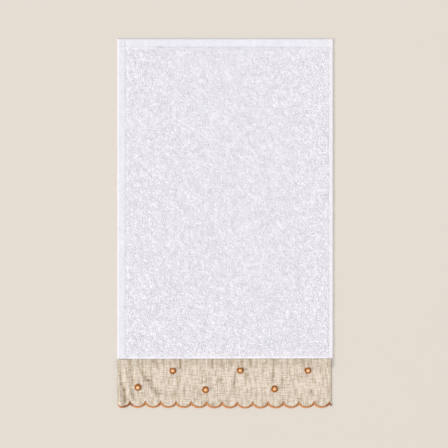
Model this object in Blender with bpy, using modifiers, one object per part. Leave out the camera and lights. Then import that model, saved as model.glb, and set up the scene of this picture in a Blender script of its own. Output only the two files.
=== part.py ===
"""Hand towel lying flat: a hemmed terry panel, and a linen band with a scalloped edge and beaded rosettes.

X runs across the towel, Y along it with the linen at the negative end, and Z up from what it lies on.
The origin is the middle of the towel's footprint. Everything is in metres.
"""

import math
from typing import NamedTuple

import bmesh
import bpy
import numpy as np
from mathutils import Vector, noise

WIDTH = 0.298
LENGTH = 0.510
BAND_LENGTH = 0.0701
GAP = 0.0003

# Terry panel
TERRY_THICKNESS = 0.0038
TERRY_UNEVENNESS = 0.0003
TERRY_CLOUD_SIZE = 0.040
TERRY_COLUMNS_BETWEEN_HEMS = 21
TERRY_ROWS_BETWEEN_HEMS = 32
BODY_INSET_RIGHT = 0.0010
EDGE_WAVE = 0.0005
EDGE_WAVE_SIZE = 0.035
LEFT_SEED = 1.0
RIGHT_SEED = 7.0
TOP_SEED = 13.0

# Seam between the terry and the linen
SEAM_STEP = 0.0001
SEAM_RISE = 0.0006
ALLOWANCE_DEPTH = 0.0105
ALLOWANCE_THICKNESS = 0.0012

# Linen band
LINEN_THICKNESS = 0.0010
LINEN_HEM_THICKNESS = 0.0014
LINEN_HEM_WIDTH = 0.0040
LINEN_INSET_LEFT = 0.0006
LINEN_INSET_RIGHT = 0.0027
DESCENT_LENGTH = 0.0030
LINEN_FLAT_ROWS = 3
SCALLOP_ROOT = 0.0175

# Scallops and the stitched line along them
SCALLOP_PITCH = 0.02113
FIRST_CUSP_X = -0.1313
SEGMENTS_PER_SCALLOP = 8
LINE_SPACING = 0.0006
EDGING_INSET_LEFT = 0.0009
EDGING_WIDTH = 0.0028
EDGING_THICKNESS = 0.0018
OUTER_SAGITTA = 0.0048
INNER_SAGITTA = 0.0088
BOW_DEPTH = 0.0009
BOW_X = 0.031
BOW_REACH = 0.080

# Rosettes and beads
PETALS = 5
ROSETTE_SEGMENTS = 4 * PETALS
ROSETTE_RADIUS = 0.0046
PETAL_DEPTH = 0.0003
PETAL_RIM_HEIGHT = 0.0009
PETAL_BEVEL = 0.0004
BEAD_RADIUS = 0.0023
BEAD_SEGMENTS = 12
BEAD_RINGS = 7

LEFT = -WIDTH / 2
RIGHT = WIDTH / 2
TOP = LENGTH / 2
BOTTOM = -LENGTH / 2
SEAM_Y = BOTTOM + BAND_LENGTH
LINEN_LEFT = LEFT + LINEN_INSET_LEFT
LINEN_RIGHT = RIGHT - LINEN_INSET_RIGHT
EDGING_LEFT = LEFT + EDGING_INSET_LEFT


class Station(NamedTuple):
    """A line along an edge of the cloth: how far in it lies, and how thick the cloth is there."""

    inset: float
    thickness: float


class Profile(NamedTuple):
    """A line along the stitched edging: its share of the way across, and the thickness there."""

    share: float
    thickness: float


class Ring(NamedTuple):
    """A ring of a rosette's top."""

    radius: float
    height: float


class Ridge(NamedTuple):
    """A soft ripple in the linen between two points."""

    start: tuple
    end: tuple
    start_height: float
    end_height: float
    half_width: float


class Ornament(NamedTuple):
    """Where a rosette and its bead are sewn, and how far the rosette is turned."""

    x: float
    y: float
    turn: float


LEFT_HEM = (
    Station(0.0, 0.0018),
    Station(0.0010, 0.0027),
    Station(0.0075, 0.0029),
    Station(0.0100, 0.0022),
    Station(0.0118, 0.0036),
)
RIGHT_HEM = (
    Station(0.0, 0.0018),
    Station(0.0009, 0.0029),
    Station(0.0026, 0.0028),
    Station(0.0038, 0.0019),
    Station(0.0052, 0.0036),
)
TOP_HEM = (
    Station(0.0, 0.0018),
    Station(0.0010, 0.0027),
    Station(0.0095, 0.0028),
    Station(0.0110, 0.0019),
    Station(0.0124, 0.0036),
)
SEAM_EDGE = (
    Station(0.0, 0.0030),
    Station(0.0012, 0.0038),
)
EDGING_PROFILE = (
    Profile(0.0, 0.0007),
    Profile(0.3, 0.0018),
    Profile(0.7, 0.0018),
    Profile(1.0, 0.0007),
)
PETAL_CREST = Ring(0.0029, 0.0013)
ROSETTE_DIMPLE = Ring(0.0013, 0.0007)
RIDGES = (
    Ridge((-0.1487, -0.2070), (-0.1447, -0.2530), 0.0003, 0.0030, 0.0042),
    Ridge((-0.1355, -0.1990), (-0.1240, -0.2480), 0.0006, 0.0010, 0.0045),
    Ridge((-0.1260, -0.2000), (-0.0960, -0.2420), 0.0006, 0.0008, 0.0050),
    Ridge((0.0100, -0.2040), (0.0110, -0.2400), 0.0004, 0.0005, 0.0035),
    Ridge((0.0640, -0.2010), (0.0610, -0.2200), 0.0006, 0.0003, 0.0030),
)
ORNAMENTS = (
    Ornament(-0.1205, -0.2266, 0.3),
    Ornament(-0.0726, -0.2033, 1.1),
    Ornament(-0.0272, -0.2297, 0.7),
    Ornament(0.0205, -0.2031, 0.1),
    Ornament(0.0678, -0.2284, 0.9),
    Ornament(0.1139, -0.2033, 0.5),
)
MATERIALS = {
    "terry_cotton": ((0.86, 0.85, 0.89, 1.0), 0.95, 0.0),
    "natural_linen": ((0.68, 0.58, 0.44, 1.0), 0.85, 0.0),
    "orange_thread": ((0.52, 0.21, 0.08, 1.0), 0.45, 0.0),
    "copper_pearl": ((0.83, 0.38, 0.16, 1.0), 0.25, 0.4),
}


def clear_scene():
    for obj in list(bpy.data.objects):
        bpy.data.objects.remove(obj, do_unlink=True)


def make_material(name):
    color, roughness, metallic = MATERIALS[name]
    material = bpy.data.materials.new(name)
    material.use_nodes = True
    shader = material.node_tree.nodes["Principled BSDF"]
    shader.inputs["Base Color"].default_value = color
    shader.inputs["Roughness"].default_value = roughness
    shader.inputs["Metallic"].default_value = metallic
    return material


def add_object(name, mesh, collection):
    obj = bpy.data.objects.new(name, mesh)
    collection.objects.link(obj)
    return obj


def wave(position, seed):
    """A slow uneven wander along an edge, from 0 to EDGE_WAVE."""
    return EDGE_WAVE * (0.5 + 0.5 * noise.noise(Vector((position / EDGE_WAVE_SIZE, seed, 0.0))))


def seam_y(x):
    """The seam's line, which rises a little from left to right."""
    return SEAM_Y + SEAM_RISE * (x - LEFT) / WIDTH


def ripple(x, y):
    """Height of the linen's ripples over the surface at this point."""
    height = 0.0
    point = Vector((x, y))
    for ridge in RIDGES:
        start = Vector(ridge.start)
        along = Vector(ridge.end) - start
        share = min(max((point - start).dot(along) / along.length_squared, 0.0), 1.0)
        distance = (point - start - along * share).length
        crest = ridge.start_height + (ridge.end_height - ridge.start_height) * share
        height += crest * math.exp(-((distance / ridge.half_width) ** 2))
    return height


def thickness_across(stations, inset):
    return float(np.interp(inset, [s.inset for s in stations], [s.thickness for s in stations]))


def lines_between(low, high, low_stations, high_stations, count):
    """Grid lines at each edge's stations, with count evenly spaced lines between them."""
    first = [low + station.inset for station in low_stations]
    last = [high - station.inset for station in reversed(high_stations)]
    middle = np.linspace(first[-1], last[0], count + 2)[1:-1]
    return first + [float(value) for value in middle] + last


def sheet(name, columns, rows, place, thickness, most, material, collection):
    """A cloth sheet: a grid laid on its underside by place(i, j), thickened upward by thickness(i, j)."""
    bm = bmesh.new()
    bmesh.ops.create_grid(bm, x_segments=columns - 1, y_segments=rows - 1, size=1.0)
    weights = {}
    for vert in bm.verts:
        i = round((vert.co.x + 1) / 2 * (columns - 1))
        j = round((vert.co.y + 1) / 2 * (rows - 1))
        weights[vert.index] = thickness(i, j) / most
        vert.co = place(i, j)
    mesh = bpy.data.meshes.new(name)
    bm.to_mesh(mesh)
    bm.free()
    mesh.materials.append(material)
    mesh.shade_smooth()
    obj = add_object(name, mesh, collection)
    group = obj.vertex_groups.new(name="thickness")
    for index, weight in weights.items():
        group.add([index], weight, "REPLACE")
    solidify = obj.modifiers.new("Cloth", "SOLIDIFY")
    solidify.thickness = most
    solidify.offset = 1.0
    solidify.vertex_group = group.name
    return obj


def terry_panel(material, collection):
    """The looped panel, hemmed on three sides, with its flat seam allowance below the seam."""
    xs = lines_between(LEFT, RIGHT, LEFT_HEM, RIGHT_HEM, TERRY_COLUMNS_BETWEEN_HEMS)
    pile_ys = lines_between(SEAM_Y, TOP, SEAM_EDGE, TOP_HEM, TERRY_ROWS_BETWEEN_HEMS)
    ys = [SEAM_Y - ALLOWANCE_DEPTH, SEAM_Y - SEAM_STEP] + pile_ys
    seam_row = 2

    def place(i, j):
        x, y = xs[i], ys[j]
        across = (x - LEFT) / WIDTH
        up = (y - SEAM_Y) / (TOP - SEAM_Y)
        beside_hem = y < TOP - TOP_HEM[2].inset
        left_inset = wave(y, LEFT_SEED)
        right_inset = BODY_INSET_RIGHT + wave(y, RIGHT_SEED) if beside_hem else 0.0
        x += (1 - across) * left_inset - across * right_inset
        if j < seam_row:
            y += seam_y(x) - SEAM_Y
        else:
            y += (1 - up) * (seam_y(x) - SEAM_Y) - up * wave(x, TOP_SEED)
        return Vector((x, y, 0.0))

    def thickness(i, j):
        if j < seam_row:
            return ALLOWANCE_THICKNESS
        x, y = xs[i], ys[j]
        pile = min(
            thickness_across(LEFT_HEM, x - LEFT),
            thickness_across(RIGHT_HEM, RIGHT - x),
            thickness_across(TOP_HEM, TOP - y),
            thickness_across(SEAM_EDGE, y - SEAM_Y),
        )
        cloud = noise.noise(Vector((x, y, 0.0)) / TERRY_CLOUD_SIZE)
        return min(pile + TERRY_UNEVENNESS * cloud, TERRY_THICKNESS)

    return sheet(
        "terry_panel", len(xs), len(ys), place, thickness, TERRY_THICKNESS, material, collection
    )


def scallop_arc(x, sagitta):
    """The height at x of a circular arc that rises by sagitta to each cusp, and the cosine of its slope."""
    half = SCALLOP_PITCH / 2
    radius = (half**2 + sagitta**2) / (2 * sagitta)
    offset = (x - FIRST_CUSP_X) % SCALLOP_PITCH - half
    drop = math.sqrt(radius**2 - offset**2)
    return radius - drop, drop / radius


def lowest_line(x):
    """Where the scallops' lowest points lie: the whole edge bows down a little near BOW_X."""
    return BOTTOM + BOW_DEPTH * (1 - math.exp(-(((x - BOW_X) / BOW_REACH) ** 2)))


def outer_edge(x):
    height, _ = scallop_arc(x, OUTER_SAGITTA)
    return lowest_line(x) + height


def inner_edge(x):
    height, _ = scallop_arc(x, INNER_SAGITTA)
    return lowest_line(x) + EDGING_WIDTH + height


def linen_edge(x):
    """The linen's cut edge, GAP inside the stitched line, measured square to it."""
    _, slope_cosine = scallop_arc(x, INNER_SAGITTA)
    return inner_edge(x) + GAP / slope_cosine


def scallop_lines(left, right, *others):
    """Grid lines from left to right: evenly turned round each scallop, one on each cusp, and the others."""
    half = SCALLOP_PITCH / 2
    half_turns = SEGMENTS_PER_SCALLOP // 2
    turns = [math.sin(math.pi * k / SEGMENTS_PER_SCALLOP) for k in range(1 - half_turns, half_turns + 1)]
    middles = np.arange(FIRST_CUSP_X - half, right + SCALLOP_PITCH, SCALLOP_PITCH)
    lines = [float(middle) + half * turn for middle in middles for turn in turns]
    fixed = [left, right, *others]
    kept = [x for x in lines if left < x < right and min(abs(x - f) for f in fixed) > LINE_SPACING]
    return sorted(kept + fixed)


def linen_band(material, collection):
    """The linen, lying over the seam allowance, then down on the surface in soft ripples."""
    hem_lines = (LINEN_LEFT + LINEN_HEM_WIDTH, LINEN_RIGHT - LINEN_HEM_WIDTH)
    xs = scallop_lines(LINEN_LEFT, LINEN_RIGHT, *hem_lines)
    over_allowance = ALLOWANCE_THICKNESS + GAP
    start = SEAM_Y - SEAM_STEP - GAP
    descent = SEAM_Y - ALLOWANCE_DEPTH - 2 * GAP
    root = BOTTOM + SCALLOP_ROOT
    flat_ys = np.linspace(descent - DESCENT_LENGTH, root, LINEN_FLAT_ROWS + 1)
    straight = [(start, over_allowance), (descent, over_allowance)] + [(float(y), 0.0) for y in flat_ys]
    rows = len(straight) + 2

    def place(i, j):
        x = xs[i]
        tilt = seam_y(x) - SEAM_Y
        below = rows - 1 - j
        if below < len(straight):
            y, rise = straight[below]
            if below < 2:
                y += tilt
        else:
            share = (below - len(straight) + 1) / 2
            y = root + (linen_edge(x) - root) * share
            rise = 0.0
        return Vector((x, y, rise + ripple(x, y)))

    def thickness(i, j):
        hemmed = min(xs[i] - LINEN_LEFT, LINEN_RIGHT - xs[i]) < LINEN_HEM_WIDTH
        return LINEN_HEM_THICKNESS if hemmed else LINEN_THICKNESS

    return sheet(
        "linen_band", len(xs), rows, place, thickness, LINEN_HEM_THICKNESS, material, collection
    )


def scallop_edging(material, collection):
    """The satin-stitched line along the scallops, thickest along its middle."""
    xs = scallop_lines(EDGING_LEFT, LINEN_RIGHT)

    def place(i, j):
        x = xs[i]
        share = EDGING_PROFILE[j].share
        y = outer_edge(x) + (inner_edge(x) - outer_edge(x)) * share
        return Vector((x, y, ripple(x, y)))

    def thickness(i, j):
        return EDGING_PROFILE[j].thickness

    return sheet(
        "scallop_edging",
        len(xs),
        len(EDGING_PROFILE),
        place,
        thickness,
        EDGING_THICKNESS,
        material,
        collection,
    )


def rosette_mesh(material):
    """A low petalled disc with a dimple for its bead, standing on its flat base."""
    bm = bmesh.new()
    bmesh.ops.create_cone(
        bm,
        cap_ends=True,
        segments=ROSETTE_SEGMENTS,
        radius1=ROSETTE_RADIUS,
        radius2=ROSETTE_RADIUS - PETAL_BEVEL,
        depth=PETAL_RIM_HEIGHT,
    )
    bmesh.ops.translate(bm, verts=bm.verts, vec=(0.0, 0.0, PETAL_RIM_HEIGHT / 2))
    for ring in (PETAL_CREST, ROSETTE_DIMPLE):
        top = max(bm.faces, key=lambda face: face.calc_center_median().z)
        radius = top.verts[0].co.xy.length
        bmesh.ops.inset_region(bm, faces=[top], thickness=radius - ring.radius)
        for vert in top.verts:
            vert.co.z = ring.height
    for vert in bm.verts:
        angle = math.atan2(vert.co.y, vert.co.x)
        vert.co.xy *= 1 + PETAL_DEPTH / ROSETTE_RADIUS * math.cos(PETALS * angle)
    mesh = bpy.data.meshes.new("rosette")
    bm.to_mesh(mesh)
    bm.free()
    mesh.materials.append(material)
    mesh.shade_smooth()
    return mesh


def bead_mesh(material):
    """A round bead that stands on its lowest point."""
    bm = bmesh.new()
    bmesh.ops.create_uvsphere(
        bm, u_segments=BEAD_SEGMENTS, v_segments=BEAD_RINGS, radius=BEAD_RADIUS
    )
    bmesh.ops.translate(bm, verts=bm.verts, vec=(0.0, 0.0, BEAD_RADIUS))
    mesh = bpy.data.meshes.new("bead")
    bm.to_mesh(mesh)
    bm.free()
    mesh.materials.append(material)
    mesh.shade_smooth()
    return mesh


def seat_height(ornament):
    """The height of the linen's top under a rosette, at the highest point of its rim or its middle."""
    rim = [(0.0, 0.0)]
    for k in range(ROSETTE_SEGMENTS):
        angle = 2 * math.pi * k / ROSETTE_SEGMENTS
        rim.append((ROSETTE_RADIUS * math.cos(angle), ROSETTE_RADIUS * math.sin(angle)))
    return LINEN_THICKNESS + max(ripple(ornament.x + dx, ornament.y + dy) for dx, dy in rim)


def ornaments(thread, pearl, collection):
    """Six rosettes on the linen, each with a bead in its dimple."""
    rosette = rosette_mesh(thread)
    bead = bead_mesh(pearl)
    for number, ornament in enumerate(ORNAMENTS, start=1):
        base = seat_height(ornament) + GAP
        petals = add_object(f"rosette_{number}", rosette, collection)
        petals.location = (ornament.x, ornament.y, base)
        petals.rotation_euler.z = ornament.turn
        pearl_bead = add_object(f"bead_{number}", bead, collection)
        pearl_bead.location = (ornament.x, ornament.y, base + ROSETTE_DIMPLE.height + GAP)


def main():
    clear_scene()
    collection = bpy.data.collections.new("hand_towel")
    bpy.context.scene.collection.children.link(collection)
    thread = make_material("orange_thread")
    terry_panel(make_material("terry_cotton"), collection)
    linen_band(make_material("natural_linen"), collection)
    scallop_edging(thread, collection)
    ornaments(thread, make_material("copper_pearl"), collection)


main()
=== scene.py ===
import math

import bpy
import numpy as np
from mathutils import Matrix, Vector, noise


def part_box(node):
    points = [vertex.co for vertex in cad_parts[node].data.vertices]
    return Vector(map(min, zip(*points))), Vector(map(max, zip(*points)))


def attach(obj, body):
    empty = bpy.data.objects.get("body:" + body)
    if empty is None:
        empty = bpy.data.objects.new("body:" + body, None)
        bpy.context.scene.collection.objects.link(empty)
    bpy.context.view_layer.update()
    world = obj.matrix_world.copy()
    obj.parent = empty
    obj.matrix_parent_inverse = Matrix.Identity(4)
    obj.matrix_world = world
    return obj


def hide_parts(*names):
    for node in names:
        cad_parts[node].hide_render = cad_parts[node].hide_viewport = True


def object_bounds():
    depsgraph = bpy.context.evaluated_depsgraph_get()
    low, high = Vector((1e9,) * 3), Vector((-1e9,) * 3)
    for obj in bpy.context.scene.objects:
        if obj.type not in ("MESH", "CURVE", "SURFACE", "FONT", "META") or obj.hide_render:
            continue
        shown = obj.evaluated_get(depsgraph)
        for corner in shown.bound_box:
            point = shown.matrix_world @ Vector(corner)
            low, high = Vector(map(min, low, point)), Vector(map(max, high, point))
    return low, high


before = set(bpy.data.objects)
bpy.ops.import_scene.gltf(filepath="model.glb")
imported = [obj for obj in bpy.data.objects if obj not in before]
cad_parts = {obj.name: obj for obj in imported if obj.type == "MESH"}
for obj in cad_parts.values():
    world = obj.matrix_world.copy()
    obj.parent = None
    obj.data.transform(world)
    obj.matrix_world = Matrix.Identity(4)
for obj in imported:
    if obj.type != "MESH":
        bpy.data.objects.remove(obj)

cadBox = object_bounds()
left, right = cadBox[0].x, cadBox[1].x  # the towel's sides, in metres
bottom = cadBox[0].y
towelLength, bandLength = 0.5097, 0.0686
top, seamY = bottom + towelLength, bottom + bandLength
print("frame loaded,", len(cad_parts), "nodes")


class Wire:
    # a shader socket that takes part in sums
    def __init__(self, surface, socket):
        self.surface, self.socket = surface, socket

    def maths(self, operation, *values):
        return self.surface.node("ShaderNodeMath", {"operation": operation}, dict(enumerate(values)))

    def __add__(self, other):
        return self.maths("ADD", self, other)

    def __mul__(self, other):
        return self.maths("MULTIPLY", self, other)


class Surface:
    # a Principled material, its nodes and the pattern coordinates
    def __init__(self, name, constants):
        self.material = bpy.data.materials.new(name)
        self.material.use_nodes = True
        self.tree = self.material.node_tree
        self.shader = self.tree.nodes["Principled BSDF"]
        for socket, value in constants.items():
            self.shader.inputs[socket].default_value = value
        self.place = self.node("ShaderNodeTexCoord", {}, {}, "Object")

    def node(self, kind, settings, inputs, output=0):
        made = self.tree.nodes.new(kind)
        for key, value in settings.items():
            setattr(made, key, value)
        for key, value in inputs.items():
            self.feed(made.inputs[key], value)
        return Wire(self, made.outputs[output])

    def feed(self, socket, value):
        if isinstance(value, Wire):
            self.tree.links.new(value.socket, socket)
        else:
            socket.default_value = value

    def axis(self, number):
        return self.node("ShaderNodeSeparateXYZ", {}, {"Vector": self.place}, number)

    def tagged(self, name):
        # the values that tag() wrote on the mesh
        return self.node("ShaderNodeAttribute", {"attribute_name": name}, {}, "Fac")

    def stretched(self, size, turn=0.0, seed=0.0):
        # object coordinates divided by a size in metres for each axis
        scale = tuple(1 / s for s in size)
        inputs = {"Vector": self.place, "Scale": scale, "Rotation": (0, 0, turn), "Location": (seed, seed, 0)}
        return self.node("ShaderNodeMapping", {"vector_type": "POINT"}, inputs)

    def cloud(self, size, turn=0.0, seed=0.0, detail=2.0):
        place = self.stretched(size, turn, seed)
        inputs = {"Vector": place, "Scale": 1.0, "Detail": detail, "Roughness": 0.5}
        return self.node("ShaderNodeTexNoise", {}, inputs)

    def spread(self, value, low, high, toLow=0.0, toHigh=1.0):
        # the value's range low to high becomes toLow to toHigh, and it stops there
        inputs = {"Value": value, "From Min": low, "From Max": high, "To Min": toLow, "To Max": toHigh}
        return self.node("ShaderNodeMapRange", {"clamp": True}, inputs)

    def mix(self, factor, first, second):
        return self.node("ShaderNodeMix", {"data_type": "RGBA"}, {0: factor, 6: first, 7: second}, 2)

    def sine(self, value):
        return value.maths("SINE", value)

    def paint(self, socket, value):
        self.feed(self.shader.inputs[socket], value)

    def bump(self, height, distance):
        inputs = {"Height": height, "Distance": distance, "Strength": 1.0}
        self.paint("Normal", self.node("ShaderNodeBump", {}, inputs))


def meshFromArrays(name, points, faceSets):
    # faceSets holds arrays of faces, one array for each number of corners
    mesh = bpy.data.meshes.new(name)
    points = np.ascontiguousarray(points, dtype=np.float32).reshape(-1, 3)
    mesh.vertices.add(len(points))
    mesh.vertices.foreach_set("co", points.ravel())
    corners = np.concatenate([faces.ravel() for faces in faceSets]).astype(np.int32)
    sizes = np.concatenate([np.full(len(faces), faces.shape[1]) for faces in faceSets])
    mesh.loops.add(len(corners))
    mesh.loops.foreach_set("vertex_index", corners)
    mesh.polygons.add(len(sizes))
    mesh.polygons.foreach_set("loop_start", (np.cumsum(sizes) - sizes).astype(np.int32))
    mesh.update(calc_edges=True)
    mesh.shade_smooth()
    return mesh


def pointsOf(mesh):
    points = np.empty(len(mesh.vertices) * 3, np.float32)
    mesh.vertices.foreach_get("co", points)
    return points.reshape(-1, 3)


def tag(mesh, name, values):
    # one value for each point of the mesh, for its surface to read
    written = mesh.attributes.new(name, "FLOAT", "POINT")
    written.data.foreach_set("value", values.astype(np.float32).ravel())


def linked(name, data):
    made = bpy.data.objects.new(name, data)
    bpy.context.scene.collection.objects.link(made)
    return made


def addPiece(name, mesh, surface):
    piece = linked(name, mesh)
    mesh.materials.append(surface.material)
    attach(piece, "root")
    return piece


def unit(vectors):
    return vectors / np.maximum(np.linalg.norm(vectors, axis=-1, keepdims=True), 1e-12)


def closedSheet(name, upper, under):
    # two grids of points, rows by columns, joined round their border into one closed body
    rows, columns = upper.shape[:2]
    index = np.arange(rows * columns).reshape(rows, columns)
    quads = np.stack([index[:-1, :-1], index[:-1, 1:], index[1:, 1:], index[1:, :-1]], -1).reshape(-1, 4)
    below = rows * columns
    border = np.concatenate([index[0, :-1], index[:-1, -1], index[-1, :0:-1], index[:0:-1, 0]])
    following = np.roll(border, -1)
    rim = np.stack([border, border + below, following + below, following], -1)
    points = np.concatenate([upper.reshape(-1, 3), under.reshape(-1, 3)])
    return meshFromArrays(name, points, [np.concatenate([quads, quads[:, ::-1] + below, rim])])


def tubes(name, paths, radii, sides, lift=0.0):
    # many short threads in one mesh: paths is threads by rings by 3, each in its own plane
    # lift turns the shading towards the sky, as light that passes through loose fibre does
    count, rings = paths.shape[:2]
    tangent = unit(np.gradient(paths, axis=1))
    toMiddle, toEnd = paths[:, rings // 2] - paths[:, 0], paths[:, -1] - paths[:, 0]
    normal = np.repeat(unit(np.cross(toMiddle, toEnd))[:, None], rings, axis=1)
    other = np.cross(normal, tangent)
    turn = 2 * math.pi * np.arange(sides) / sides
    around = np.cos(turn)[:, None] * normal[:, :, None] + np.sin(turn)[:, None] * other[:, :, None]
    points = paths[:, :, None] + radii[:, :, None, None] * around
    index = np.arange(count * rings * sides).reshape(count, rings, sides)
    after = np.roll(index, -1, axis=2)
    quads = np.stack([index[:, :-1], index[:, 1:], after[:, 1:], after[:, :-1]], -1).reshape(-1, 4)
    caps = np.concatenate([index[:, 0], index[:, -1, ::-1]])
    mesh = meshFromArrays(name, points, [quads, caps])
    if lift:
        outward = np.broadcast_to(around, points.shape).reshape(-1, 3)
        mesh.normals_split_custom_set_from_vertices(unit(outward + (0, 0, lift)))
    return mesh


def mapFromAbove(mesh):
    # a map of the points as seen from above, over the towel's own rectangle
    margin = 0.02
    corners = np.empty(len(mesh.loops), np.int32)
    mesh.loops.foreach_get("vertex_index", corners)
    span = (1 + 2 * margin) * (top - bottom)
    flat = (pointsOf(mesh)[corners, :2] - (left, bottom)) / span + margin
    mesh.uv_layers.new(name="OFBake").data.foreach_set("uv", flat.astype(np.float32).ravel())


def folds(x, y, strokes):
    # how far soft strokes lift or lower the cloth at these points
    height = np.zeros(np.shape(x))
    for start, end, startHeight, endHeight, halfWidth in strokes:
        alongX, alongY = end[0] - start[0], end[1] - start[1]
        share = ((x - start[0]) * alongX + (y - start[1]) * alongY) / (alongX ** 2 + alongY ** 2)
        share = np.clip(share, 0, 1)
        away = np.hypot(x - start[0] - alongX * share, y - start[1] - alongY * share)
        height += (startHeight + (endHeight - startHeight) * share) * np.exp(-(away / halfWidth) ** 2)
    return height


def readAt(stations, position):
    # the value at a position in a table of positions and values
    return np.interp(position, [s[0] for s in stations], [s[1] for s in stations])


def cloudAt(x, y, size, seed=0.0):
    return noise.noise(Vector((x / size, y / size, seed)))


view = {
    "cameraPlace": (-0.0017, -0.0007, 3.0),
    "widthSeen": 0.6176,  # metres of floor from side to side
    "sensor": 36.0,
    "sunFrom": (-0.80, -0.28, 0.51),
    "sunAngle": 24.0,
    "sunStrength": 1.62,
    "skyStrength": 0.780,
    "overheadPlace": (-0.15, 0.10, 2.6), "overheadSize": 0.5, "overheadPower": 7.6,
    "floorColor": (0.684, 0.631, 0.563, 1.0),
    "floorSize": 12.0,
    "floorCloudSize": 0.3, "floorMottle": 0.985,
}


def makeStage():
    camera = bpy.data.cameras.new("camera")
    camera.sensor_width = view["sensor"]
    camera.lens = view["sensor"] * view["cameraPlace"][2] / view["widthSeen"]
    cameraObject = linked("camera", camera)
    cameraObject.location = view["cameraPlace"]
    bpy.context.scene.camera = cameraObject

    sun = bpy.data.lights.new("softSun", "SUN")
    sun.energy = view["sunStrength"]
    sun.angle = math.radians(view["sunAngle"])
    sunTurn = Vector(view["sunFrom"]).to_track_quat("Z", "Y")
    linked("softSun", sun).rotation_euler = sunTurn.to_euler()

    overhead = bpy.data.lights.new("overhead", "AREA")
    overhead.shape = "DISK"
    overhead.size = view["overheadSize"]
    overhead.energy = view["overheadPower"]
    linked("overhead", overhead).location = view["overheadPlace"]

    world = bpy.data.worlds.new("paleRoom")
    world.use_nodes = True
    background = world.node_tree.nodes["Background"]
    background.inputs["Color"].default_value = (1.0, 1.0, 1.0, 1.0)
    background.inputs["Strength"].default_value = view["skyStrength"]
    bpy.context.scene.world = world

    bpy.ops.object.select_all(action="DESELECT")
    bpy.ops.mesh.primitive_plane_add(size=view["floorSize"])
    floor = bpy.context.object
    floor.name = "floor"
    paper = Surface("palePaper", {"Roughness": 0.9, "Specular IOR Level": 0.1})
    darker = tuple(view["floorMottle"] * c for c in view["floorColor"][:3]) + (1.0,)
    mottle = paper.cloud((view["floorCloudSize"],) * 3)
    paper.paint("Base Color", paper.mix(mottle, view["floorColor"], darker))
    floor.data.materials.append(paper.material)
    bpy.context.scene.view_settings.view_transform = "Standard"


makeStage()
print("camera, lights and floor set")


terry = {
    "wave": 0.0005,
    "waveSize": 0.035,
    "waveSeeds": (1.0, 7.0, 13.0),  # left, right, top
    "rightWave": 0.6,  # the right side wanders less
    "seamRise": 0.0006,
    "seamStep": 0.0001,
    "allowanceDepth": 0.0105,
    "allowanceThickness": 0.0012, "allowanceInset": 0.0036,
    "edgeTuck": 0.0002,  # how far the underside turns in at the folds
    "gridSpacing": 0.0036,
    "topHemWidth": 0.0083,
    "hemUnevenness": 0.00040, "evenBelow": 0.0020,
    "hemCloudSize": 0.008,
    "hemWeave": (0.00055, 0.00065), "hemBump": 0.00016,
    "paintedLightFrom": 0.009, "paintedLightTo": 0.006,  # painted light: the hem strip in from the right side is painted paler
    "dentDepth": 0.0009,
    # inset from the edge and height there, each hem folded over and stitched down
    "leftHem": ((0, .0008), (.0005, .0016), (.0020, .0027), (.0026, .0027), (.0056, .0023), (.0070, .0026),
                (.0086, .0027), (.0096, .0024), (.0106, .0019), (.0124, .0019), (.0150, .0022)),
    "rightHem": ((0, .0007), (.0004, .0014), (.0009, .0020), (.0016, .0025), (.0050, .0023), (.0058, .0021),
                 (.0064, .0020), (.0069, .0020), (.0078, .0022)),
    "topHem": ((0, .0010), (.0004, .0019), (.0010, .0026), (.0022, .0029), (.0060, .0030), (.0078, .0028),
               (.0087, .0017), (.0095, .0004), (.0118, .0004), (.0129, .0022)),
    "topGrooveFloor": ((-.105, .0021), (-.088, 0), (.095, 0), (.118, .0012)),  # across the towel
    "seamEdge": ((0, .0022), (.0004, .0028), (.0012, .0029), (.0022, .0024), (.0030, .0022)),
}


def edgeWave(position, seed):
    return terry["wave"] * (0.5 + 0.5 * noise.noise(Vector((position / terry["waveSize"], seed, 0.0))))


def seamAt(x):
    return seamY + terry["seamRise"] * (x - left) / (right - left)


def onPanel(x, y):
    # moves a point of the plain rectangle to its place on the wandering outline
    leftSeed, rightSeed, topSeed = terry["waveSeeds"]
    across, up = (x - left) / (right - left), (y - seamY) / (top - seamY)
    besideHem = y < top - terry["topHemWidth"]
    rightInset = terry["rightWave"] * edgeWave(y, rightSeed) if besideHem else 0.0
    x += (1 - across) * edgeWave(y, leftSeed) - across * rightInset
    if up < 0:
        return x, y + seamAt(x) - seamY
    return x, y + (1 - up) * (seamAt(x) - seamY) - up * edgeWave(x, topSeed)


def groundHeight(x, y):
    # the height of the woven ground and of the hems, on the plain rectangle
    topHeight = readAt(terry["topHem"], top - y)
    if top - y > terry["topHemWidth"]:
        topHeight = max(topHeight, readAt(terry["topGrooveFloor"], x))
    return min(
        readAt(terry["leftHem"], x - left),
        readAt(terry["rightHem"], right - x),
        topHeight,
        readAt(terry["seamEdge"], y - seamY),
    )


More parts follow.
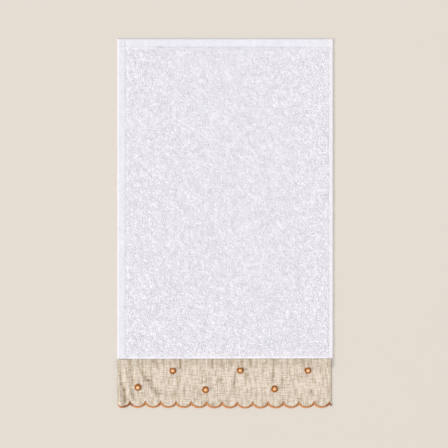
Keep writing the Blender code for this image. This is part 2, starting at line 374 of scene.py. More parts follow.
def makeGround(surface, pileSurface):
    def lines(low, high, lowStations, highStations):
        first = [low + s[0] for s in lowStations]
        last = [high - s[0] for s in reversed(highStations)]
        count = round((last[0] - first[-1]) / terry["gridSpacing"])
        return first + list(np.linspace(first[-1], last[0], count + 1)[1:-1]) + last

    xs = lines(left, right, terry["leftHem"], terry["rightHem"])
    allowance = [seamY - terry["allowanceDepth"], seamY - terry["seamStep"]]
    ys = allowance + lines(seamY, top, terry["seamEdge"], terry["topHem"])
    upper = np.empty((len(ys), len(xs), 3))
    under = np.empty_like(upper)
    for row, y in enumerate(ys):
        for column, x in enumerate(xs):
            placedX, placedY = onPanel(x, y)
            if row < len(allowance):
                placedX = min(max(placedX, left + terry["allowanceInset"]), right - terry["allowanceInset"])
                height = terry["allowanceThickness"]
            else:
                height = groundHeight(x, y) - terry["dentDepth"] * float(folds(x, y, dents))
                uneven = terry["hemUnevenness"] * cloudAt(x, y, terry["hemCloudSize"])
                height += uneven * min(1, height / terry["evenBelow"])
            upper[row, column] = placedX, placedY, height
            tuckX = terry["edgeTuck"] * ((column == 0) - (column == len(xs) - 1))
            tuckY = -terry["edgeTuck"] * (row == len(ys) - 1)
            under[row, column] = placedX + tuckX, placedY + tuckY, 0.0
    panel = addPiece("terry_ground", closedSheet("terry_ground", upper, under), surface)
    panel.data.materials.append(pileSurface.material)
    for face in panel.data.polygons:
        x, y, _ = face.center
        inset = min(x - left - pile["inLeft"], right - pile["inRight"] - x, top - pile["inTop"] - y)
        face.material_index = int(inset > pile["bareRim"])
    return panel


# marks pressed into the terry: start, end, strength at both, half width
dents = (
    ((-.1410, .2515), (-.1368, .2467), .50, .40, .0012),
    ((-.1225, .2400), (-.1205, .2385), 1.00, .90, .0016),
    ((-.1195, .2330), (-.1170, .2270), .60, .40, .0014),
    ((-.1240, .2290), (-.1235, .2200), .50, .30, .0012),
    ((-.1275, .1990), (-.1230, .1960), .50, .40, .0014),
    ((-.0920, .1800), (-.0780, .1650), .45, .35, .0014),
    ((-.0560, .1560), (-.0380, .1530), .40, .35, .0013),
    ((-.1080, .2090), (-.1060, .1900), .40, .30, .0013),
)

pile = {
    "spacing": 0.00215, "jitter": 0.32,
    "pieces": 4,
    "inLeft": 0.0104, "inRight": 0.0073, "inTop": 0.0130, "inSeam": 0.0034,
    "dented": 0.75, "flattest": 0.2,
    "bareRim": 0.0015,  # the hem cotton reaches this far under the loops
    "crushed": 0.0026, "shortest": 0.65,  # loops this near to a hem are shorter
    "yarnRadius": 0.00053, "radiusSpread": 0.10,
    "foot": 0.0018, "footSpread": 0.15,  # between a loop's two roots
    "height": 0.00065, "heightSpread": 0.07,
    "lean": 0.0018, "leanSpread": 0.25,
    "rootedAt": 0.0022, "sink": 0.0004,
    "grain": math.radians(-48), "turnSpread": 0.28,
    "swirl": 2.6, "swirlSize": 0.0065,
    "puff": 0.55, "puffSize": 0.0045,
    "swell": 0.12, "swellSize": 0.045,
    "archPower": 0.8, "leanPower": 1.5, "bulge": 0.5,  # a loop's outline
    "rootThickness": 0.9, "crownThickness": 0.25,
    "rings": 5, "sides": 3,
    "lift": 1.5,
    # how far the painted shade beside the left and top hems reaches
    "grooveShadeLeft": 0.007, "grooveShadeTop": 0.006,
    "seed": 20,
}


def makePile(surface):
    draw = np.random.default_rng(pile["seed"])
    xs = np.arange(left + pile["inLeft"], right - pile["inRight"], pile["spacing"])
    ys = np.arange(seamY + pile["inSeam"], top - pile["inTop"], pile["spacing"])
    gridX, gridY = np.meshgrid(xs, ys)
    gridX = gridX + 0.5 * pile["spacing"] * (np.arange(len(ys)) % 2)[:, None]
    spots = np.stack([gridX.ravel(), gridY.ravel()], -1)
    spots += draw.uniform(-pile["jitter"], pile["jitter"], spots.shape) * pile["spacing"]
    swirl = np.array([cloudAt(x, y, pile["swirlSize"]) for x, y in spots])
    puff = np.array([cloudAt(x, y, pile["puffSize"], 5.0) for x, y in spots])
    swell = np.array([cloudAt(x, y, pile["swellSize"], 9.0) for x, y in spots])
    ground = np.array([groundHeight(x, y) for x, y in spots])
    placed = np.array([onPanel(x, y) for x, y in spots])
    nearest = np.min([spots[:, 0] - left - pile["inLeft"], right - pile["inRight"] - spots[:, 0],
                      top - pile["inTop"] - spots[:, 1], spots[:, 1] - seamY - pile["inSeam"]], axis=0)
    shortest = pile["shortest"]
    crushed = np.clip(shortest + (1 - shortest) * nearest / pile["crushed"], shortest, 1.0)

    count = len(spots)
    turn = pile["grain"] + pile["swirl"] * swirl + draw.normal(0, pile["turnSpread"], count)
    leanWay = np.stack([np.cos(turn), np.sin(turn), np.zeros(count)], -1)
    footWay = np.stack([-np.sin(turn), np.cos(turn), np.zeros(count)], -1)
    dented = np.clip(1 - pile["dented"] * folds(spots[:, 0], spots[:, 1], dents), pile["flattest"], 1)
    fullness = 1 + pile["puff"] * puff + pile["swell"] * swell + draw.normal(0, pile["heightSpread"], count)
    rise = pile["height"] * crushed * dented * fullness
    lean = pile["lean"] * crushed * (1 + draw.normal(0, pile["leanSpread"], count))
    foot = pile["foot"] * (1 + draw.normal(0, pile["footSpread"], count))
    share = np.linspace(0, math.pi, pile["rings"])
    arch = np.sin(share) ** pile["archPower"]
    paths = np.zeros((count, pile["rings"], 3))
    paths[:, :, :2] = placed[:, None]
    paths[:, :, 2] = np.minimum(ground, pile["rootedAt"])[:, None] - pile["sink"]
    halfFoot = foot[:, None] * 0.5 * np.cos(share) * (1 + pile["bulge"] * arch)
    paths -= halfFoot[:, :, None] * footWay[:, None]
    paths += (lean[:, None] * arch ** pile["leanPower"])[:, :, None] * leanWay[:, None]
    paths[:, :, 2] += (rise + pile["sink"])[:, None] * arch
    thickness = pile["yarnRadius"] * (1 + draw.normal(0, pile["radiusSpread"], count))
    radii = thickness[:, None] * (pile["rootThickness"] + pile["crownThickness"] * arch)
    made = []
    for number, part in enumerate(np.array_split(np.arange(count), pile["pieces"]), start=1):
        name = f"terry_loops_{number}"
        mesh = tubes(name, paths[part], radii[part], pile["sides"], pile["lift"])
        mapFromAbove(mesh)
        made.append(addPiece(name, mesh, surface))
    print("terry loops:", count)
    return made


hemStitch = {
    "pitch": 0.0031, "length": 0.0019, "radius": 0.00024, "sides": 5, "lift": 0.00030, "sunk": 0.4,
    "endGap": 0.001, "seamGap": 0.002,
    "leftInset": 0.0107, "rightInset": 0.0064, "topInset": 0.0107,
}


def stitchRun(start, end):
    # a row of lockstitches, each a low arch of thread
    start, end = np.array(start), np.array(end)
    distance = np.linalg.norm(end - start)
    count = int(distance / hemStitch["pitch"])
    way = (end - start) / distance
    share = np.linspace(-0.5, 0.5, 5)
    paths = []
    for number in range(count):
        centre = start + way * (number + 0.5) * hemStitch["pitch"]
        flat = centre + way * share[:, None] * hemStitch["length"]
        flat = np.array([onPanel(x, y) for x, y in flat])
        arch = groundHeight(*centre) + hemStitch["lift"] * (1 - (2 * share) ** 2)
        arch = arch - hemStitch["sunk"] * hemStitch["lift"]
        paths.append(np.column_stack([flat, arch]))
    return paths


def makeHemStitches(surface):
    leftX, rightX = left + hemStitch["leftInset"], right - hemStitch["rightInset"]
    topY, gap = top - hemStitch["topInset"], hemStitch["endGap"]
    lowY = seamY + hemStitch["seamGap"]
    paths = stitchRun((leftX, lowY), (leftX, top - gap)) + stitchRun((rightX, lowY), (rightX, top - gap))
    paths = np.array(paths + stitchRun((left + gap, topY), (right - gap, topY)))
    radii = np.full(paths.shape[:2], hemStitch["radius"])
    mesh = tubes("hem_stitches", paths, radii, hemStitch["sides"])
    return addPiece("hem_stitches", mesh, surface)


def cottonSurface():
    cotton = Surface("terryCotton", {"Roughness": 0.95, "Specular IOR Level": 0.15,
                                     "Sheen Weight": 0.12, "Sheen Roughness": 0.5})
    tone = cotton.cloud((0.022, 0.022, 10.0), detail=3.0)
    curl = cotton.cloud((0.0040, 0.0030, 10.0), turn=math.radians(48), detail=1.0, seed=3.0)
    base = cotton.mix(cotton.spread(tone, 0.3, 0.7), (0.838, 0.823, 0.867, 1), (0.884, 0.868, 0.910, 1))
    base = cotton.mix(cotton.spread(curl, 0.50, 0.28, 0.0, 0.60), base, (0.75, 0.735, 0.785, 1))
    # painted shade: the loops beside the left and top hems are painted greyer, standing in for the shade of
    # the hem grooves
    across, up = cotton.axis(0), cotton.axis(1)
    fromLeft, fromTop = left + pile["inLeft"], top - pile["inTop"]
    paintedGrooveShade = cotton.spread(across, fromLeft, fromLeft + pile["grooveShadeLeft"], 0.45, 0.0)
    paintedGrooveShade = paintedGrooveShade + cotton.spread(up, fromTop - pile["grooveShadeTop"], fromTop, 0.0, 0.35)
    cotton.paint("Base Color", cotton.mix(paintedGrooveShade, base, (0.78, 0.765, 0.815, 1)))
    return cotton


def hemSurface():
    hem = Surface("hemmedCotton", {"Roughness": 0.9, "Specular IOR Level": 0.15, "Sheen Weight": 0.1})
    tone = hem.cloud((0.006, 0.02, 0.02), detail=3.0)
    base = hem.mix(hem.spread(tone, 0.3, 0.7), (0.812, 0.803, 0.857, 1), (0.866, 0.857, 0.911, 1))
    across, up = hem.axis(0), hem.axis(1)
    # painted light: the hem is painted paler near the right side
    paintedLight = hem.spread(across, right - terry["paintedLightFrom"], right - terry["paintedLightTo"], 0.0, 0.6)
    hem.paint("Base Color", hem.mix(paintedLight, base, (0.950, 0.910, 0.915, 1)))
    pitchX, pitchY = terry["hemWeave"]
    weave = hem.sine(across * (math.pi / pitchX)) * hem.sine(up * (math.pi / pitchY))
    hem.bump(weave + hem.cloud((0.0012, 0.0012, 0.0012)) * 2.0, terry["hemBump"])
    return hem


cotton, hem = cottonSurface(), hemSurface()
ground = makeGround(hem, cotton)
loops = makePile(cotton)
hemStitches = makeHemStitches(hem)
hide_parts("terry_panel")
print("terry panel made")


linen = {
    "insetLeft": 0.0006, "insetRight": 0.0027,
    "thickness": 0.0010, "hemThickness": 0.0014, "hemWidth": 0.0040, "hemSlope": 0.0006,
    "roundedSide": ((0, .0006), (.0004, .00015), (.0012, 0)),  # inset, and how much lower it is there
    "turnedTop": ((0, .0003), (.0003, .0001), (.0014, 0)),
    "overAllowance": 0.0018,
    "startGap": 0.0004, "seamBlend": 0.002,
    "descentY": seamY - 0.0115, "descentLength": 0.0030,
    "rootY": bottom + 0.0175,
    "rowSpacing": 0.00078, "firstRow": 0.0003, "edgeRows": 14,
    "columnsPerScallop": 32, "hemColumn": 0.0008, "closest": 0.0003,
    "creaseDepth": 0.0008, "edgeFade": 0.004,
    "buckle": 0.00013, "buckleSize": 0.009, "fineShare": 0.6, "fineSize": 0.004,
    "threadPitch": 0.00062, "threadWander": 0.0009, "bump": 0.00022,
    "underEdging": 0.0012,  # how far the cut edge runs under the satin stitches
}
scallop = {
    "pitch": 0.02113, "firstCusp": -0.1313,
    "edgingWidth": 0.0024, "outerSagitta": 0.0044, "innerSagitta": 0.0082,
    "bowDepth": 0.0009, "bowX": 0.031, "bowReach": 0.080,
    "insetLeft": 0.0003, "endGap": 0.0002,
    "curl": 0.0046, "curlReach": 0.0045,  # how the line turns up at its left end
}
# broad ripples: start, end, height at the start and at the end, half width
ripples = (
    ((-.1478, -.2100), (-.1440, -.2480), .0006, .0022, .0020),
    ((-.1376, -.2047), (-.1299, -.2392), .0010, .0028, .0024),
    ((-.1235, -.2040), (-.1225, -.2200), .0006, .0008, .0022),
    ((-.1240, -.2010), (-.0960, -.2420), .0004, .0007, .0045),
    ((.0100, -.2040), (.0110, -.2400), .0004, .0005, .0035),
    ((.0640, -.2010), (.0610, -.2200), .0006, .0003, .0030),
)
# creases and puckers laid in one by one, each a soft trough: start, end, strength at both, half width
# painted shade: each crease also darkens the linen's colour through the shade attribute
creases = (
    ((-.1447, -.2020), (-.1433, -.2212), .30, .35, .0017),
    ((-.1433, -.2212), (-.1392, -.2295), .40, .60, .0018),
    ((-.1392, -.2295), (-.1378, -.2447), .65, 1.00, .0021),
    ((-.1306, -.1868), (-.1310, -.2020), .45, .35, .0018),
    ((-.1310, -.2020), (-.1273, -.2192), .35, .50, .0015),
    ((-.1273, -.2281), (-.1255, -.2433), .25, .40, .0014),
    ((-.1194, -.1868), (-.1186, -.1978), .40, .20, .0015),
    ((-.1138, -.1868), (-.1138, -.2074), .45, .35, .0015),
    ((-.1138, -.2074), (-.1058, -.2164), .30, .30, .0024),
    ((-.1120, -.2109), (-.1027, -.2111), .35, .35, .0009),
    ((-.1120, -.2157), (-.1023, -.2161), .55, .50, .0012),
    ((-.1058, -.2171), (-.0955, -.2337), .35, .35, .0025),
    ((-.1030, -.2075), (-.0989, -.2226), .20, .30, .0014),
    ((-.0989, -.1868), (-.0978, -.1978), .45, .25, .0012),
    ((-.0945, -.1868), (-.0931, -.1992), .35, .50, .0012),
    ((-.0844, -.1868), (-.0844, -.1992), .25, .30, .0012),
    ((-.0616, -.1868), (-.0617, -.1992), .75, .85, .0014),
    ((-.0493, -.1868), (-.0490, -.1937), .35, .20, .0011),
    ((-.0451, -.1868), (-.0451, -.1937), .30, .20, .0011),
    ((-.0383, -.1868), (-.0381, -.1937), .25, .15, .0011),
    ((-.0286, -.1868), (-.0285, -.1937), .35, .20, .0011),
    ((-.0231, -.1868), (-.0231, -.1951), .30, .20, .0011),
    ((-.0176, -.1868), (-.0174, -.1992), .55, .75, .0014),
    ((-.0034, -.1868), (-.0024, -.1992), .30, .50, .0012),
    ((.0074, -.1868), (.0082, -.1978), .45, .25, .0012),
    ((.0183, -.1923), (.0183, -.1992), .35, .35, .0011),
    ((.0238, -.1868), (.0238, -.1992), .30, .55, .0015),
    ((.0348, -.1868), (.0360, -.1978), .75, .55, .0015),
    ((.0431, -.1868), (.0432, -.1992), .35, .25, .0011),
    ((.0541, -.1923), (.0541, -.1992), .25, .25, .0011),
    ((.0665, -.1868), (.0668, -.2102), .50, .55, .0014),
    ((.0668, -.2102), (.0639, -.2212), .50, .30, .0014),
    ((.0775, -.1937), (.0777, -.2212), .20, .30, .0011),
    ((.0857, -.1882), (.0857, -.2130), .35, .30, .0011),
    ((.0982, -.1868), (.0984, -.1937), .35, .20, .0011),
    ((.1065, -.1868), (.1094, -.1992), .45, .40, .0012),
    ((.1146, -.1923), (.1148, -.1992), .60, .60, .0012),
    ((.1189, -.1868), (.1189, -.1923), .40, .20, .0011),
    ((.1285, -.1937), (.1285, -.1992), .25, .25, .0011),
    ((.1410, -.1923), (.1412, -.1978), .50, .40, .0011),
    ((.1411, -.2144), (.1425, -.2323), .35, .40, .0012),
    ((-.0741, -.2061), (-.0742, -.2130), .30, .20, .0012),
    ((-.0631, -.2061), (-.0617, -.2185), .35, .30, .0012),
    ((-.0316, -.2061), (-.0315, -.2130), .25, .25, .0012),
    ((-.0231, -.2130), (-.0231, -.2185), .30, .20, .0012),
    ((-.0093, -.2150), (-.0031, -.2150), .55, .55, .0012),
    ((-.0052, -.2088), (-.0052, -.2199), .20, .50, .0015),
    ((.0141, -.2061), (.0129, -.2199), .45, .55, .0017),
    ((.0129, -.2199), (.0128, -.2350), .30, .35, .0014),
    ((.0359, -.2144), (.0359, -.2268), .25, .20, .0012),
    ((.0775, -.2150), (.0837, -.2157), .30, .30, .0011),
    ((.1051, -.2068), (.1154, -.2102), .20, .30, .0012),
    ((-.1024, -.2268), (-.1018, -.2337), .20, .20, .0012),
    ((-.0962, -.2268), (-.0946, -.2337), .45, .20, .0012),
    ((-.0913, -.2341), (-.0865, -.2341), .70, .70, .0008),
    ((-.0920, -.2337), (-.0919, -.2419), .35, .25, .0012),
    ((-.0727, -.2337), (-.0726, -.2433), .40, .30, .0014),
    ((-.0657, -.2212), (-.0644, -.2337), .25, .25, .0012),
    ((-.0383, -.2337), (-.0381, -.2419), .25, .25, .0012),
    ((-.0010, -.2268), (-.0010, -.2337), .25, .25, .0012),
    ((.0307, -.2281), (.0309, -.2309), .50, .50, .0010),
    ((.0955, -.2199), (.0955, -.2337), .25, .25, .0011),
    ((.1189, -.2295), (.1190, -.2323), .85, .85, .0010),
    ((.0431, -.2337), (.0431, -.2405), .25, .20, .0011),
)
# painted shade with no crease: along the seam, under the step and beside the edges
shades = (
    ((-.1490, -.1869), (.1463, -.1864), .05, .05, .0011),
    ((-.1490, -.1915), (.1463, -.1910), .15, .15, .0065),
    ((-.1485, -.1870), (-.1485, -.2500), .45, .60, .0008),
    ((.1440, -.1870), (.1440, -.2440), .14, .20, .0011),
    ((.1459, -.1870), (.1457, -.2480), .40, .50, .0007),
    ((-.1300, -.2375), (.1440, -.2375), .09, .09, .0055),
)


def scallopArc(x, sagitta):
    half = scallop["pitch"] / 2
    radius = (half ** 2 + sagitta ** 2) / (2 * sagitta)
    offset = (x - scallop["firstCusp"]) % scallop["pitch"] - half
    return radius - np.sqrt(radius ** 2 - offset ** 2)


def lowestLine(x):
    return bottom + scallop["bowDepth"] * (1 - np.exp(-((x - scallop["bowX"]) / scallop["bowReach"]) ** 2))


def leftCurl(x):
    return scallop["curl"] * np.clip((left + scallop["curlReach"] - x) / scallop["curlReach"], 0, 1) ** 2


def outerEdge(x):
    return lowestLine(x) + scallopArc(x, scallop["outerSagitta"]) + leftCurl(x)


def innerEdge(x):
    arc = scallopArc(x, scallop["innerSagitta"])
    return lowestLine(x) + scallop["edgingWidth"] + arc + leftCurl(x)


def scallopLines(start, end, perScallop):
    # lines across the scallops, closer together towards each cusp
    half = scallop["pitch"] / 2
    turns = np.sin(math.pi * (np.arange(perScallop) / perScallop - 0.5))
    middles = np.arange(scallop["firstCusp"] - half, end + scallop["pitch"], scallop["pitch"])
    found = (middles[:, None] + half * turns).ravel()
    return found[(found > start + scallop["endGap"]) & (found < end - scallop["endGap"])]


def makeLinen(surface):
    startX, endX = left + linen["insetLeft"], right - linen["insetRight"]
    steps = [inset for inset, _ in linen["roundedSide"]]
    steps = np.array(steps + [linen["hemWidth"], linen["hemWidth"] + linen["hemColumn"]])
    hemLines = np.concatenate([startX + steps, endX - steps])
    xs = scallopLines(startX, endX, linen["columnsPerScallop"])
    xs = xs[np.min(np.abs(xs[:, None] - hemLines), axis=1) > linen["closest"]]
    xs = np.sort(np.concatenate([xs, hemLines]))
    firstY, lastY = seamY - linen["startGap"], linen["rootY"]
    ys = np.arange(firstY, lastY, -linen["rowSpacing"])
    ys = np.concatenate([[firstY], [firstY - linen["firstRow"]], ys[1:], [lastY]])
    shares = np.arange(1, linen["edgeRows"] + 1) / linen["edgeRows"]
    cutEdge = innerEdge(xs) - linen["underEdging"]
    gridX = np.repeat(xs[None], len(ys) + len(shares), axis=0)
    scalloped = lastY + (cutEdge - lastY) * shares[:, None]
    gridY = np.concatenate([np.repeat(ys[:, None], len(xs), axis=1), scalloped])
    tilt = terry["seamRise"] * (gridX - left) / (right - left)
    gridY = gridY + tilt * np.clip((gridY - linen["descentY"]) / linen["seamBlend"], 0, 1)
    descent = gridY - tilt - linen["descentY"] + linen["descentLength"]
    descent = np.clip(descent / linen["descentLength"], 0, 1)
    descent = descent ** 2 * (3 - 2 * descent)
    lying = folds(gridX, gridY, ripples) + linen["overAllowance"] * descent
    fromSide = np.minimum(gridX - startX, endX - gridX)
    hemmed = np.clip((linen["hemWidth"] + linen["hemSlope"] - fromSide) / linen["hemSlope"], 0, 1)
    thickness = linen["thickness"] + (linen["hemThickness"] - linen["thickness"]) * hemmed
    rounded = readAt(linen["roundedSide"], fromSide)
    turnedIn = readAt(linen["turnedTop"], firstY - gridY + tilt)
    creased = folds(gridX, gridY, creases)

    def buckleAt(x, y):
        fine = cloudAt(x, y, linen["fineSize"], 4.0)
        return cloudAt(x, y, linen["buckleSize"], 2.0) + linen["fineShare"] * fine

    buckle = np.array([[buckleAt(x, y) for x, y in zip(*row)] for row in zip(gridX, gridY)])
    atEdge = np.clip((gridY - cutEdge) / linen["edgeFade"], 0, 1)
    upperZ = lying + thickness - rounded - turnedIn
    upperZ = upperZ - linen["creaseDepth"] * creased * atEdge + linen["buckle"] * buckle * atEdge
    upper = np.stack([gridX, gridY, upperZ], -1)[::-1]
    under = np.stack([gridX, gridY, np.maximum(lying, 0)], -1)[::-1]
    mesh = closedSheet("linen_cloth", upper, under)
    # painted shade: the creases and the shades table darken the colour through this attribute
    shade = np.clip(creased + folds(gridX, gridY, shades), 0, 1)[::-1].ravel()
    tag(mesh, "shade", np.tile(shade, 2))
    return addPiece("linen_cloth", mesh, surface)


def linenSurface():
    flax = Surface("naturalLinen", {"Roughness": 0.88, "Specular IOR Level": 0.2, "Sheen Weight": 0.1})
    wander = flax.cloud((0.02, 0.02, 0.02), seed=4.0) * linen["threadWander"]
    turns = math.pi / linen["threadPitch"]
    over = flax.sine((flax.axis(0) + wander) * turns) * flax.sine((flax.axis(1) + wander) * turns)
    warp = flax.cloud((0.0014, 0.015, 1.0), detail=3.0, seed=1.0)
    weft = flax.cloud((0.012, 0.0014, 1.0), detail=3.0, seed=7.0)
    slubs = flax.cloud((0.0065, 0.0022, 1.0), detail=2.0, seed=11.0)
    patch = flax.cloud((0.0045, 0.0200, 1.0), detail=3.0, seed=15.0)
    fleck = flax.cloud((0.0022, 0.0012, 1.0), detail=1.0, seed=23.0)
    pale, mid, dark = (0.898, 0.808, 0.714, 1), (0.730, 0.617, 0.483, 1), (0.33, 0.240, 0.138, 1)
    fleckColor, shadeColor = (0.20, 0.145, 0.09, 1), (0.30, 0.212, 0.118, 1)
    color = flax.mix(flax.spread(warp * 0.5 + weft * 0.5, 0.40, 0.60), mid, pale)
    # each pattern darkens the cloth: its range, how much at both ends, and the colour
    for pattern, low, high, toLow, toHigh, tint in (
        (warp, 0.47, 0.26, 0.0, 0.62, dark),
        (weft, 0.45, 0.26, 0.0, 0.64, dark),
        (slubs, 0.42, 0.24, 0.0, 0.54, dark),
        (patch, 0.52, 0.30, 0.0, 0.42, dark),
        (fleck, 0.31, 0.22, 0.0, 0.80, fleckColor),
        (over, -0.9, 0.2, 0.28, 0.0, dark),
    ):
        color = flax.mix(flax.spread(pattern, low, high, toLow, toHigh), color, tint)
    # painted shade: the colour goes towards shadeColor where the shade attribute is set
    flax.paint("Base Color", flax.mix(flax.tagged("shade"), color, shadeColor))
    flax.bump(over * 0.6 + warp * 2.0 + weft * 2.0 + slubs, linen["bump"])
    return flax


flax = linenSurface()
linenCloth = makeLinen(flax)
print("linen made")


edging = {
    "stitchesPerScallop": 44,
    "samples": (0.0, 0.75, 1.0, 0.75),  # the roundness of each stitch
    "ridge": 0.00015, "sideRidge": 0.6, "ridgeAbove": 0.0004,
    "raggedness": 0.00010, "raggedOuter": (-0.0002, 0.0001),
    # painted shade, how much darker the colour is: along the edge, towards its inner side and over each
    # scallop's right half
    "shadeAlong": ((-.146, .3), (-.139, .8), (-.135, 1.0), (-.130, 1.0), (-.127, .1),
               (.138, .1), (.142, .6), (.146, .9)),
    "shadeInward": 0.36,
    "shadeRising": 0.65, "shadeRisingFrom": 0.15,
    "lean": 0.0013,  # how far the stitches fan towards square with the edge
    # share of the way from the outer to the inner edge, and height
    "profile": ((0.00, .0004), (0.07, .0009), (0.25, .0014), (0.50, .0017), (0.75, .0016), (0.93, .0014),
                (1.00, .0011), (0.92, .0003), (0.50, .0001), (0.08, .0001)),
    "colors": ((0.81, 0.370, 0.148, 1), (0.65, 0.275, 0.095, 1), (0.29, 0.096, 0.028, 1)),
    "seed": 5,
}


def makeEdging(surface):
    draw = np.random.default_rng(edging["seed"])
    startX, endX = left + scallop["insetLeft"], right - linen["insetRight"]
    samples = len(edging["samples"])
    step = scallop["pitch"] / edging["stitchesPerScallop"] / samples
    count = int((endX - startX) / step)
    outerX = np.linspace(startX, endX, count)
    half = scallop["pitch"] / 2
    offset = (outerX - scallop["firstCusp"]) % scallop["pitch"] - half
    innerX = outerX - edging["lean"] * np.sin(math.pi * offset / half)
    innerX = np.clip(innerX, startX, endX)
    roundness = np.resize(edging["samples"], count)
    ragged = np.repeat(draw.normal(0, edging["raggedness"], count // samples + 1), samples)[:count]
    outer = np.stack([outerX, outerEdge(outerX)], -1)
    inner = np.stack([innerX, innerEdge(innerX)], -1)
    way = unit(inner - outer)
    outward = edging["sideRidge"] * edging["ridge"] * roundness
    outer = outer - way * (outward + np.clip(ragged, *edging["raggedOuter"]))[:, None]
    inner = inner + way * (outward + ragged)[:, None]
    lift = folds(outerX, (outer[:, 1] + inner[:, 1]) / 2, ripples)
    corners = len(edging["profile"])
    rings = np.empty((count, corners, 3))
    for corner, (share, height) in enumerate(edging["profile"]):
        rings[:, corner, :2] = outer + (inner - outer) * share
        raised = edging["ridge"] * roundness if height > edging["ridgeAbove"] else 0.0
        rings[:, corner, 2] = height + lift + raised
    index = np.arange(count * corners).reshape(count, corners)
    after = np.roll(index, -1, axis=1)
    quads = np.stack([index[:-1], index[1:], after[1:], after[:-1]], -1).reshape(-1, 4)
    caps = np.stack([index[0], index[-1, ::-1]])
    mesh = meshFromArrays("satin_edging", rings, [quads, caps])
    # painted shade on the edging, kept in its depth attribute
    edgingShade = readAt(edging["shadeAlong"], outerX)
    edgingShade += edging["shadeRising"] * np.clip(offset / half - edging["shadeRisingFrom"], 0, 1)
    shares = np.array([share for share, _ in edging["profile"]])
    tag(mesh, "depth", np.clip(edgingShade[:, None] + edging["shadeInward"] * shares ** 2, 0, 1))
    mapFromAbove(mesh)
    return addPiece("satin_edging", mesh, surface)


def threadSurface(name, pale, deep, dark):
    silk = Surface(name, {"Roughness": 0.50, "Specular IOR Level": 0.22})
    tone = silk.cloud((0.004, 0.004, 10.0), detail=3.0)
    fine = silk.cloud((0.0005, 0.0012, 10.0), detail=2.0, seed=8.0)
    base = silk.mix(silk.spread(tone, 0.3, 0.7), deep, pale)
    color = silk.mix(silk.spread(fine, 0.55, 0.3, 0.0, 0.4), base, dark)
    # painted shade: darker where the mesh's depth attribute is set
    silk.paint("Base Color", silk.mix(silk.tagged("depth"), color, dark))
    return silk


satin = makeEdging(threadSurface("orangeThread", *edging["colors"]))
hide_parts("scallop_edging")
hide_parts("linen_band")
print("satin edging made")


rosette = {
    "petals": 5, "turns": (.3, 1.1, .7, .1, .9, .5),
    "padRadius": 0.0044, "padTop": 0.0038, "padHeight": 0.0008, "padSides": 30,
    "padRim": 0.0014, "padDip": 0.0002,
    "stitches": 11, "threadRadius": 0.00021, "threadSides": 5,
    "innerRadius": 0.0010, "petalHalfWidth": 0.0024, "petalRoot": 0.0031, "petalReach": 0.0018,
    "roundness": 0.92, "pinch": 0.35, "sideFall": 0.25,  # a petal's outline
    "crest": 0.00075, "rimHeight": 0.00035,
    "seat": (0.0002, 0.0007, 0.0),  # how far a flower is sewn from its mark
    "colors": ((0.52, 0.178, 0.026, 1), (0.37, 0.118, 0.015, 1), (0.20, 0.062, 0.008, 1)),
}
bead = {
    "radius": 0.0027, "segments": 32, "rings": 16,
    "holeRadius": 0.00062, "tunnel": (0.82, 0.82, 0.86),  # how far the hole narrows inside
    "threadRadius": 0.00032, "threadSides": 6, "threadRings": 11,
    "loopReach": 0.0030, "loopFoot": 0.0005, "loopRise": 0.0021,
    "seat": (0.0004, 0.0007, 0.0002),
    "paintedHighlight": (0.0067, 0.0081),  # painted highlight: the bead's colour is palest above these heights
}


def petalStitches():
    # one flower's satin stitches round the origin, standing on z = 0
    paths = []
    share = np.linspace(0, 1, 6)
    for petal in range(rosette["petals"]):
        angle = 2 * math.pi * petal / rosette["petals"]
        along = np.array((math.cos(angle), math.sin(angle)))
        across = np.array((-along[1], along[0]))
        for number in range(rosette["stitches"]):
            side = 2 * number / (rosette["stitches"] - 1) - 1
            outline = math.sqrt(1 - (rosette["roundness"] * side) ** 2)
            reach = rosette["petalRoot"] + rosette["petalReach"] * outline
            distance = rosette["innerRadius"] + (reach - rosette["innerRadius"]) * share
            spreadOut = side * rosette["petalHalfWidth"] * np.minimum(1, rosette["pinch"] + 0.8 * share)
            flat = along * distance[:, None] + across * spreadOut[:, None]
            arch = np.sin(math.pi * (0.18 + 0.82 * share)) ** 0.8
            height = rosette["rimHeight"] + rosette["crest"] * arch
            height = height * (1 - rosette["sideFall"] * side ** 2)
            paths.append(np.column_stack([flat, height]))
    return np.array(paths)


def joined(pieces):
    bpy.ops.object.select_all(action="DESELECT")
    for piece in pieces:
        piece.select_set(True)
    bpy.context.view_layer.objects.active = pieces[0]
    bpy.ops.object.join()
    return bpy.context.object


def unselect():
    bpy.ops.object.mode_set(mode="EDIT")
    bpy.ops.mesh.select_all(action="DESELECT")
    bpy.ops.object.mode_set(mode="OBJECT")


def makeFlower():
    # a low pad under the petals, shaped from a cone, and the petals' stitches over it
    bpy.ops.object.select_all(action="DESELECT")
    middle = (0, 0, rosette["padHeight"] / 2)
    bpy.ops.mesh.primitive_cone_add(vertices=rosette["padSides"], radius1=rosette["padRadius"],
                                    radius2=rosette["padTop"], depth=rosette["padHeight"], location=middle)
    pad = bpy.context.object
    bpy.ops.object.transform_apply(location=True, rotation=True, scale=True)
    unselect()
    for face in pad.data.polygons:
        face.select = face.normal.z > 0.9
    bpy.ops.object.mode_set(mode="EDIT")
    bpy.ops.mesh.inset(thickness=rosette["padRim"])
    bpy.ops.mesh.extrude_region_move(TRANSFORM_OT_translate={"value": (0, 0, -rosette["padDip"])})
    bpy.ops.object.mode_set(mode="OBJECT")
    bpy.ops.object.shade_smooth_by_angle(angle=math.radians(40))
    paths = petalStitches()
    radii = np.full(paths.shape[:2], rosette["threadRadius"])
    petals = linked("petals", tubes("petals", paths, radii, rosette["threadSides"]))
    # the thread that comes up beside the bead, through it and down again
    turn = np.linspace(0, math.pi, bead["threadRings"])
    height = bead["loopFoot"] + bead["loopRise"] * np.sin(turn) ** 0.5
    loop = np.column_stack([-np.cos(turn) * bead["loopReach"], 0 * turn, height])[None]
    radii = np.full(loop.shape[:2], bead["threadRadius"])
    holding = linked("holding", tubes("holding", loop, radii, bead["threadSides"]))
    return joined([pad, petals, holding])


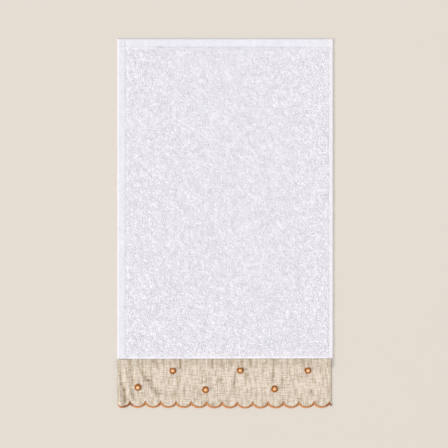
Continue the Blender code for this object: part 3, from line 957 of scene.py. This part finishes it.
def makeBead():
    # a drilled round bead with its hole lying flat
    bpy.ops.object.select_all(action="DESELECT")
    bpy.ops.mesh.primitive_uv_sphere_add(segments=bead["segments"], ring_count=bead["rings"],
                                         radius=bead["radius"])
    made = bpy.context.object
    unselect()
    for vertex in made.data.vertices:
        vertex.select = vertex.co.xy.length < bead["holeRadius"]
    bpy.ops.object.mode_set(mode="EDIT")
    bpy.ops.mesh.delete(type="VERT")
    bpy.ops.mesh.select_all(action="DESELECT")
    bpy.ops.mesh.select_non_manifold(extend=False)
    bpy.ops.mesh.extrude_region_move()
    bpy.ops.transform.resize(value=bead["tunnel"])
    bpy.ops.mesh.bridge_edge_loops()
    bpy.ops.mesh.select_all(action="SELECT")
    bpy.ops.mesh.normals_make_consistent(inside=False)
    bpy.ops.object.mode_set(mode="OBJECT")
    made.rotation_euler = (0, math.radians(90), 0)
    bpy.ops.object.transform_apply(location=True, rotation=True, scale=True)
    bpy.ops.object.shade_smooth_by_angle(angle=math.radians(50))
    return made


def pearlSurface():
    pearl = Surface("copperPearl", {"Specular IOR Level": 0.7, "Coat Weight": 1.0, "Coat Roughness": 0.22,
                                    "Coat IOR": 1.8, "Metallic": 0.55})
    swirl = pearl.cloud((0.0016, 0.0016, 0.0016), detail=3.0)
    copper = pearl.mix(pearl.spread(swirl, 0.3, 0.7), (0.74, 0.30, 0.075, 1), (0.88, 0.42, 0.13, 1))
    # painted highlight: the bead's top is painted paler
    paintedHighlight = pearl.spread(pearl.axis(2), *bead["paintedHighlight"])
    pearl.paint("Base Color", pearl.mix(paintedHighlight, copper, (0.98, 0.63, 0.31, 1)))
    pearl.paint("Roughness", pearl.spread(swirl, 0.3, 0.7, 0.30, 0.40))
    return pearl


def placeCopy(model, name, surface, place, turn):
    mesh = model.data.copy()
    mesh.name = name
    x, y, z = pointsOf(mesh).T
    cos, sin = math.cos(turn), math.sin(turn)
    turned = np.stack([cos * x - sin * y, sin * x + cos * y, z], -1) + place
    mesh.vertices.foreach_set("co", turned.astype(np.float32).ravel())
    return addPiece(name, mesh, surface)


def makeOrnaments(surface, pearl):
    flower, ball = makeFlower(), makeBead()
    for number, turn in enumerate(rosette["turns"], start=1):
        low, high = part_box(f"rosette_{number}")
        centre = Vector(((low[0] + high[0]) / 2, (low[1] + high[1]) / 2, low[2]))
        centre = centre + Vector(rosette["seat"])
        petals = placeCopy(flower, f"stitched_flower_{number}", surface, centre, turn)
        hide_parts(f"rosette_{number}")
        low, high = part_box(f"bead_{number}")
        middle = (Vector(low) + Vector(high)) / 2 + Vector(bead["seat"])
        drilled = placeCopy(ball, f"pearl_bead_{number}", pearl, middle, turn)
        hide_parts(f"bead_{number}")
    for model in (flower, ball):
        bpy.data.objects.remove(model, do_unlink=True)


makeOrnaments(threadSurface("flowerThread", *rosette["colors"]), pearlSurface())
print("rosettes and beads made")
